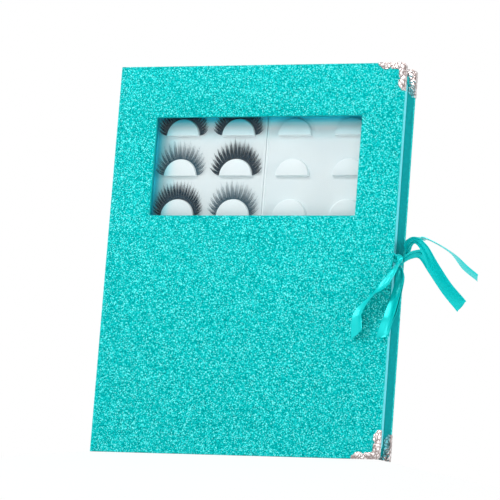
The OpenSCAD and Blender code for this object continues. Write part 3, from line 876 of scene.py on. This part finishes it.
back_loop_line = from_knot(
    ((2.6, 4.9, 1.2), (0.5, -1.3, 2)),
    ((7.2, 5.6, 4), (0.9, -1.8, 2.2)),
    ((13.6, 6.3, 4.2), (2.2, -1.8, 2.3)),
    ((21.6, 6, -4.2), (3.3, -2.1, 2.8)),
    ((31.5, 5.8, -17.1), (3.3, -2.4, 2.8)),
    ((40.4, 6, -26.6), (3.4, -2.2, 2.9)),
    ((42, 5.1, -28.3), (3.4, -2.2, 2.9)),
    ((40.7, 4.2, -26.5), (3.4, -2.2, 2.9)),
    ((32.2, 3.9, -17.3), (3.3, -2.4, 2.8)),
    ((23, 2.5, -4.4), (3.2, -2.2, 2.7)),
    ((17, 1.5, 6.4), (2.4, -2, 1.9)),
    ((11.2, 2, 12), (1.1, -2.6, 1.7)),
    ((6, 3.6, 12.1), (0, -2.5, 1.4)),
    ((2.3, 6.8, 7.9), (-0.5, -2.1, 1)),
)


def smooth(p0, p1, p2, p3, u):
    """A point on the smooth curve between p1 and p2."""
    return p1 + 0.5 * u * (
        (p2 - p0) + u * ((2 * p0 - 5 * p1 + 4 * p2 - p3) + u * (3 * p1 - p0 - 3 * p2 + p3))
    )


def along(line, part):
    """Points or half widths along a ribbon."""
    last = len(line) - 1
    found = []
    for i in range(last):
        four = [line[min(max(k, 0), last)][part] for k in range(i - 1, i + 3)]
        found += [smooth(*four, k / RIBBON_STEPS) for k in range(RIBBON_STEPS)]
    return found + [line[last][part]]


def ribbon(name, line, cut, body, node, dip=DIP):
    """A satin ribbon along a line: its far end cut aslant, and hollow and puckered across."""
    centre, half = along(line, 0), along(line, 1)
    last = len(centre) - 1
    piece = lay(
        bpy.ops.mesh.primitive_grid_add, name, size=1, x_subdivisions=RIBBON_ACROSS, y_subdivisions=last,
    )
    places = [
        (round((v.co.x + 0.5) * RIBBON_ACROSS), round((v.co.y + 0.5) * last))
        for v in piece.data.vertices
    ]
    runs = [0]
    for i in range(last):
        runs.append(runs[i] + (centre[i + 1] - centre[i]).length)
    for vertex, (k, i) in zip(piece.data.vertices, places):
        run = (centre[min(i + 1, last)] - centre[max(i - 1, 0)]).normalized()
        normal = run.cross(half[i]).normalized()
        width = 2 * half[i].length
        share = 2 * k / RIBBON_ACROSS - 1
        slant = run * cut * max(0, 1 - (last - i) / RIBBON_STEPS)
        pucker = PUCKER_SHARE * max(0, RIBBON_W - width) * math.sin(2 * math.pi * PUCKERS * k / RIBBON_ACROSS)
        hollow = math.copysign(dip * width / RIBBON_W, -normal.y) * (share ** 2 - DIP_SHARE)
        vertex.co = centre[i] + share * (half[i] + slant) + (pucker + hollow) * normal
    weave = piece.data.uv_layers[0]
    weave.name = "weave"
    for corner, loop in zip(weave.data, piece.data.loops):
        k, i = places[loop.vertex_index]
        corner.uv = (k / RIBBON_ACROSS, runs[i] / RIBBON_W)
    wall = piece.modifiers.new("cloth", "SOLIDIFY")
    wall.thickness = RIBBON_T
    wall.offset = 0
    bpy.ops.object.modifier_apply(modifier=wall.name)
    bpy.ops.object.shade_smooth_by_angle(angle=math.radians(50))
    finish(piece, satin, "ribbon", body, node)
    return piece


satin, tree, shader = coloured("teal satin", roughness=0.3, metallic=0.35)
shader.inputs["Specular IOR Level"].default_value = 0.3
shader.inputs["Anisotropic"].default_value = 0.5
weave_at = add_node(tree, "UVMap", uv_map="weave").outputs["UV"]
stretched = add_node(tree, "Mapping", {"Vector": weave_at, "Scale": (40, 3, 1)})
threads = add_node(tree, "TexNoise", {"Vector": stretched.outputs[0], "Scale": 4, "Detail": 3})
shade = ramp(tree, threads.outputs["Fac"], ((0.3, (0.0, 0.62, 0.62)), (0.7, (0.0, 0.78, 0.77))))
tree.links.new(shade, shader.inputs["Base Color"])
bump = add_node(tree, "Bump", {"Height": threads.outputs["Fac"], "Strength": 0.2, "Distance": 0.0001})
tree.links.new(bump.outputs[0], shader.inputs["Normal"])

ribbon("front_ribbon_satin", front_ribbon_line, -TAIL_CUT, "front", "front_ribbon")
ribbon("front_loop_satin", front_loop_line, 0, "front", "front_bow_loop", LOOP_DIP)
ribbon("back_ribbon_satin", back_ribbon_line, TAIL_CUT, "case", "back_ribbon")
ribbon("back_loop_satin", back_loop_line, 0, "case", "back_bow_loop")


# The knot: a turn of the same ribbon drawn tight round the crossing, so that it is pinched at its waist
# and creased along its length.
KNOT_SIDES = 40
KNOT_RINGS = 20
KNOT_CREASE = 0.0005
CREASES = ((1, 7, 900), (0.6, 4, -1300))

knot = lay(
    bpy.ops.mesh.primitive_uv_sphere_add, "knot_satin", segments=KNOT_SIDES, ring_count=KNOT_RINGS, radius=1,
    location=knot_at, scale=(knot_high - knot_low) / 2,
)
settle(knot)
for corner in knot.data.vertices:
    away = corner.co - knot_at
    turn = math.atan2(away.y, away.x)
    crease = sum(depth * math.sin(folds * turn + lean * away.z) for depth, folds, lean in CREASES)
    corner.co -= Vector((away.x, away.y, 0)).normalized() * KNOT_CREASE * (1 + crease) / 2
bpy.ops.object.shade_smooth()
knot.data.uv_layers[0].name = "weave"
finish(knot, satin, "ribbon", "front", "bow_knot")
